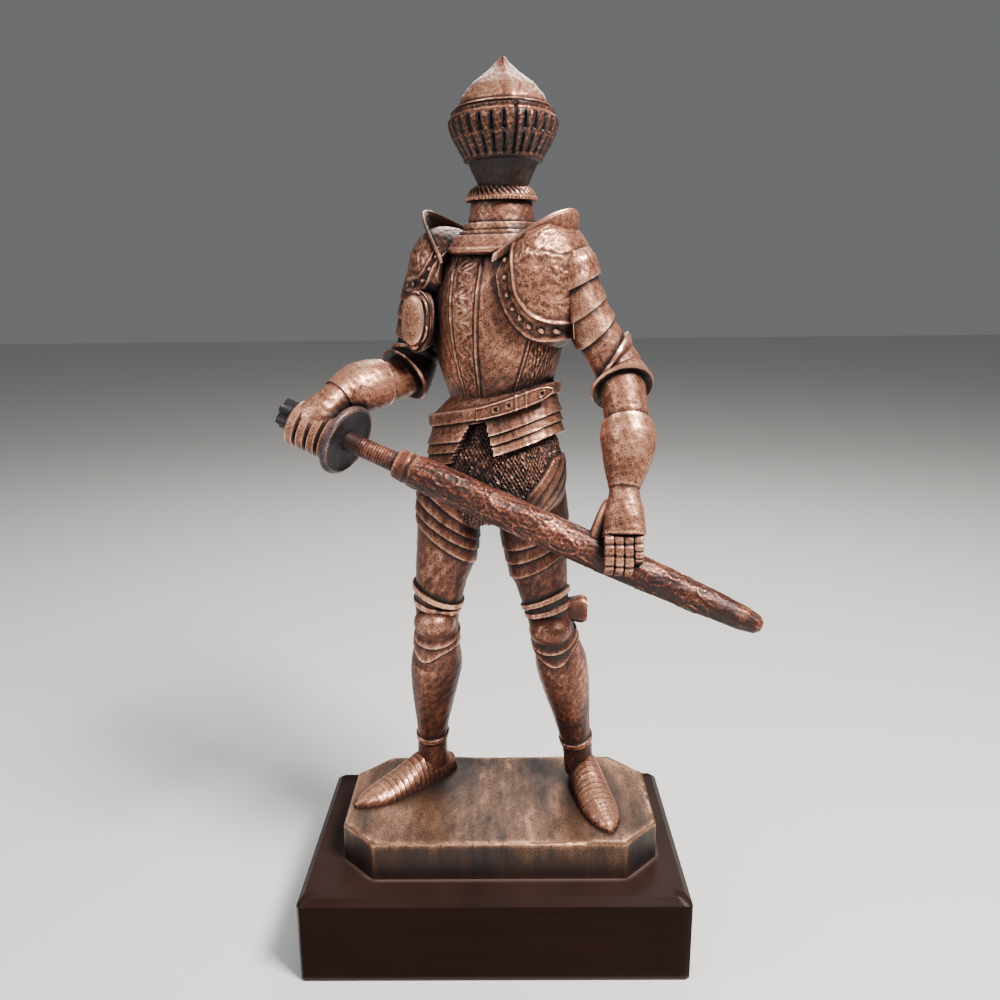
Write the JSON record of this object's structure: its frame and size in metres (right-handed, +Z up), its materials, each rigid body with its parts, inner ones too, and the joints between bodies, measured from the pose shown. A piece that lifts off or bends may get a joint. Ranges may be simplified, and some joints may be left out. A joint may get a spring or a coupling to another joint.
{
  "type": "armoured knight statue",
  "caption": "Standing knight in full plate armour holding a sheathed sword across the body, cast with an eight-sided ground on a rectangular wooden plinth.",
  "frame": {"origin": "centre of the plinth's underside, on the surface it stands on", "axes": "+Z up the figure, +X to the viewer's right when the statue faces the viewer, -Y towards the viewer"},
  "size_m": [0.1819, 0.1024, 0.3585],
  "materials": {
    "lacquered_wood": "satin lacquer, very dark red-brown",
    "copper_patina": "antique copper, rubbed pinkish on the high parts and near black in the recesses"
  },
  "bodies": {
    "root": {"plinth": "lacquered_wood", "knight_casting": "copper_patina"}
  },
  "joints": []
}
